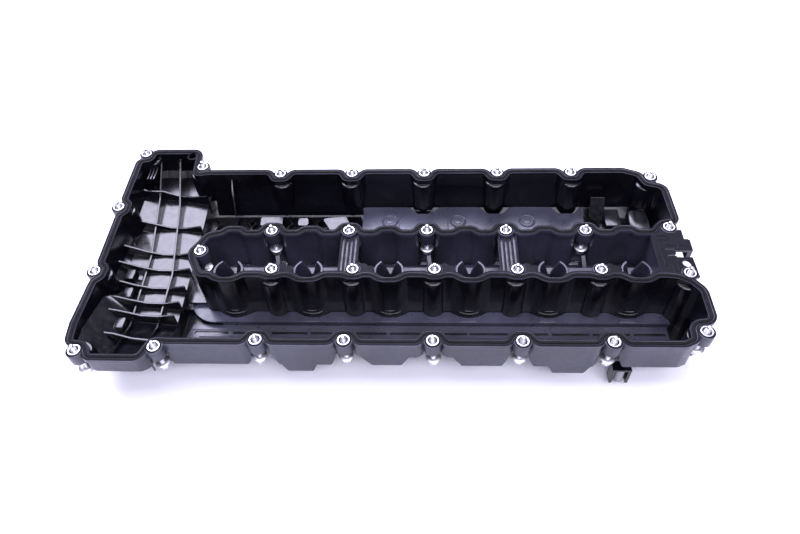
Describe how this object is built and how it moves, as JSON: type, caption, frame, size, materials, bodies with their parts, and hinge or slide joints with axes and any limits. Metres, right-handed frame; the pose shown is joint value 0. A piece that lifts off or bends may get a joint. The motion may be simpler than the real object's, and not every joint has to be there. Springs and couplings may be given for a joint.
{
  "type": "cylinder head cover",
  "caption": "Moulded cover for an in-line engine's cylinder head, gasket face up: T-shaped rim with profile gasket, coil valley with tubes, baffle plates and captive bolts that slide.",
  "frame": {"origin": "centre of the bounding box's bottom face, where the cover stands on its roof rails", "axes": "+X along the crankshaft, away from the timing end; +Y across the engine, away from the camera side; +Z out of the gasket face, which is down on the engine"},
  "size_m": [0.6834, 0.3242, 0.091],
  "materials": {
    "black_nylon": "glass-filled nylon, satin, as moulded",
    "grey_plastic": "grey nylon, satin",
    "black_rubber": "matt moulded rubber",
    "zinc_steel": "bright zinc plating"
  },
  "bodies": {
    "cover": {"cover_shell": "black_nylon", "profile_gasket": "black_rubber", "oil_baffle": "black_nylon", "separator_plate": "black_nylon", "wiring_clip": "black_nylon", "clip_bush": "grey_plastic", "vent_membrane": "black_rubber", "vent_spring": "zinc_steel", "vent_cover": "black_nylon"},
    "cover_bolt_01": {"cover_bolt_01": "zinc_steel"},
    "cover_bolt_02": {"cover_bolt_02": "zinc_steel"},
    "cover_bolt_03": {"cover_bolt_03": "zinc_steel"},
    "cover_bolt_04": {"cover_bolt_04": "zinc_steel"},
    "cover_bolt_05": {"cover_bolt_05": "zinc_steel"},
    "cover_bolt_06": {"cover_bolt_06": "zinc_steel"},
    "cover_bolt_07": {"cover_bolt_07": "zinc_steel"},
    "cover_bolt_08": {"cover_bolt_08": "zinc_steel"},
    "cover_bolt_09": {"cover_bolt_09": "zinc_steel"},
    "cover_bolt_10": {"cover_bolt_10": "zinc_steel"},
    "cover_bolt_11": {"cover_bolt_11": "zinc_steel"},
    "cover_bolt_12": {"cover_bolt_12": "zinc_steel"},
    "cover_bolt_13": {"cover_bolt_13": "zinc_steel"},
    "cover_bolt_14": {"cover_bolt_14": "zinc_steel"},
    "cover_bolt_15": {"cover_bolt_15": "zinc_steel"},
    "cover_bolt_16": {"cover_bolt_16": "zinc_steel"},
    "cover_bolt_17": {"cover_bolt_17": "zinc_steel"},
    "cover_bolt_18": {"cover_bolt_18": "zinc_steel"},
    "cover_bolt_19": {"cover_bolt_19": "zinc_steel"},
    "cover_bolt_20": {"cover_bolt_20": "zinc_steel"},
    "cover_bolt_21": {"cover_bolt_21": "zinc_steel"},
    "cover_bolt_22": {"cover_bolt_22": "zinc_steel"},
    "cover_bolt_23": {"cover_bolt_23": "zinc_steel"},
    "cover_bolt_24": {"cover_bolt_24": "zinc_steel"},
    "cover_bolt_25": {"cover_bolt_25": "zinc_steel"},
    "cover_bolt_26": {"cover_bolt_26": "zinc_steel"},
    "cover_bolt_27": {"cover_bolt_27": "zinc_steel"},
    "cover_bolt_28": {"cover_bolt_28": "zinc_steel"},
    "cover_bolt_29": {"cover_bolt_29": "zinc_steel"},
    "cover_bolt_30": {"cover_bolt_30": "zinc_steel"},
    "cover_bolt_31": {"cover_bolt_31": "zinc_steel"}
  },
  "joints": [
    {"name": "bolt_slide_01", "type": "slide", "parent": "cover", "child": "cover_bolt_01", "axis": [0, 0, 1], "range_m": [0, 0.0115]},
    {"name": "bolt_slide_02", "type": "slide", "parent": "cover", "child": "cover_bolt_02", "axis": [0, 0, 1], "range_m": [0, 0.0115]},
    {"name": "bolt_slide_03", "type": "slide", "parent": "cover", "child": "cover_bolt_03", "axis": [0, 0, 1], "range_m": [0, 0.0115]},
    {"name": "bolt_slide_04", "type": "slide", "parent": "cover", "child": "cover_bolt_04", "axis": [0, 0, 1], "range_m": [0, 0.0115]},
    {"name": "bolt_slide_05", "type": "slide", "parent": "cover", "child": "cover_bolt_05", "axis": [0, 0, 1], "range_m": [0, 0.0115]},
    {"name": "bolt_slide_06", "type": "slide", "parent": "cover", "child": "cover_bolt_06", "axis": [0, 0, 1], "range_m": [0, 0.0115]},
    {"name": "bolt_slide_07", "type": "slide", "parent": "cover", "child": "cover_bolt_07", "axis": [0, 0, 1], "range_m": [0, 0.0115]},
    {"name": "bolt_slide_08", "type": "slide", "parent": "cover", "child": "cover_bolt_08", "axis": [0, 0, 1], "range_m": [0, 0.0115]},
    {"name": "bolt_slide_09", "type": "slide", "parent": "cover", "child": "cover_bolt_09", "axis": [0, 0, 1], "range_m": [0, 0.0115]},
    {"name": "bolt_slide_10", "type": "slide", "parent": "cover", "child": "cover_bolt_10", "axis": [0, 0, 1], "range_m": [0, 0.0115]},
    {"name": "bolt_slide_11", "type": "slide", "parent": "cover", "child": "cover_bolt_11", "axis": [0, 0, 1], "range_m": [0, 0.0115]},
    {"name": "bolt_slide_12", "type": "slide", "parent": "cover", "child": "cover_bolt_12", "axis": [0, 0, 1], "range_m": [0, 0.0115]},
    {"name": "bolt_slide_13", "type": "slide", "parent": "cover", "child": "cover_bolt_13", "axis": [0, 0, 1], "range_m": [0, 0.0115]},
    {"name": "bolt_slide_14", "type": "slide", "parent": "cover", "child": "cover_bolt_14", "axis": [0, 0, 1], "range_m": [0, 0.0115]},
    {"name": "bolt_slide_15", "type": "slide", "parent": "cover", "child": "cover_bolt_15", "axis": [0, 0, 1], "range_m": [0, 0.0115]},
    {"name": "bolt_slide_16", "type": "slide", "parent": "cover", "child": "cover_bolt_16", "axis": [0, 0, 1], "range_m": [0, 0.0115]},
    {"name": "bolt_slide_17", "type": "slide", "parent": "cover", "child": "cover_bolt_17", "axis": [0, 0, 1], "range_m": [0, 0.0115]},
    {"name": "bolt_slide_18", "type": "slide", "parent": "cover", "child": "cover_bolt_18", "axis": [0, 0, 1], "range_m": [0, 0.0115]},
    {"name": "bolt_slide_19", "type": "slide", "parent": "cover", "child": "cover_bolt_19", "axis": [0, 0, 1], "range_m": [0, 0.0115]},
    {"name": "bolt_slide_20", "type": "slide", "parent": "cover", "child": "cover_bolt_20", "axis": [0, 0, 1], "range_m": [0, 0.0115]},
    {"name": "bolt_slide_21", "type": "slide", "parent": "cover", "child": "cover_bolt_21", "axis": [0, 0, 1], "range_m": [0, 0.0115]},
    {"name": "bolt_slide_22", "type": "slide", "parent": "cover", "child": "cover_bolt_22", "axis": [0, 0, 1], "range_m": [0, 0.0115]},
    {"name": "bolt_slide_23", "type": "slide", "parent": "cover", "child": "cover_bolt_23", "axis": [0, 0, 1], "range_m": [0, 0.0115]},
    {"name": "bolt_slide_24", "type": "slide", "parent": "cover", "child": "cover_bolt_24", "axis": [0, 0, 1], "range_m": [0, 0.0115]},
    {"name": "bolt_slide_25", "type": "slide", "parent": "cover", "child": "cover_bolt_25", "axis": [0, 0, 1], "range_m": [0, 0.0115]},
    {"name": "bolt_slide_26", "type": "slide", "parent": "cover", "child": "cover_bolt_26", "axis": [0, 0, 1], "range_m": [0, 0.0115]},
    {"name": "bolt_slide_27", "type": "slide", "parent": "cover", "child": "cover_bolt_27", "axis": [0, 0, 1], "range_m": [0, 0.0115]},
    {"name": "bolt_slide_28", "type": "slide", "parent": "cover", "child": "cover_bolt_28", "axis": [0, 0, 1], "range_m": [0, 0.0115]},
    {"name": "bolt_slide_29", "type": "slide", "parent": "cover", "child": "cover_bolt_29", "axis": [0, 0, 1], "range_m": [0, 0.0115]},
    {"name": "bolt_slide_30", "type": "slide", "parent": "cover", "child": "cover_bolt_30", "axis": [0, 0, 1], "range_m": [0, 0.0115]},
    {"name": "bolt_slide_31", "type": "slide", "parent": "cover", "child": "cover_bolt_31", "axis": [0, 0, 1], "range_m": [0, 0.0115]}
  ]
}
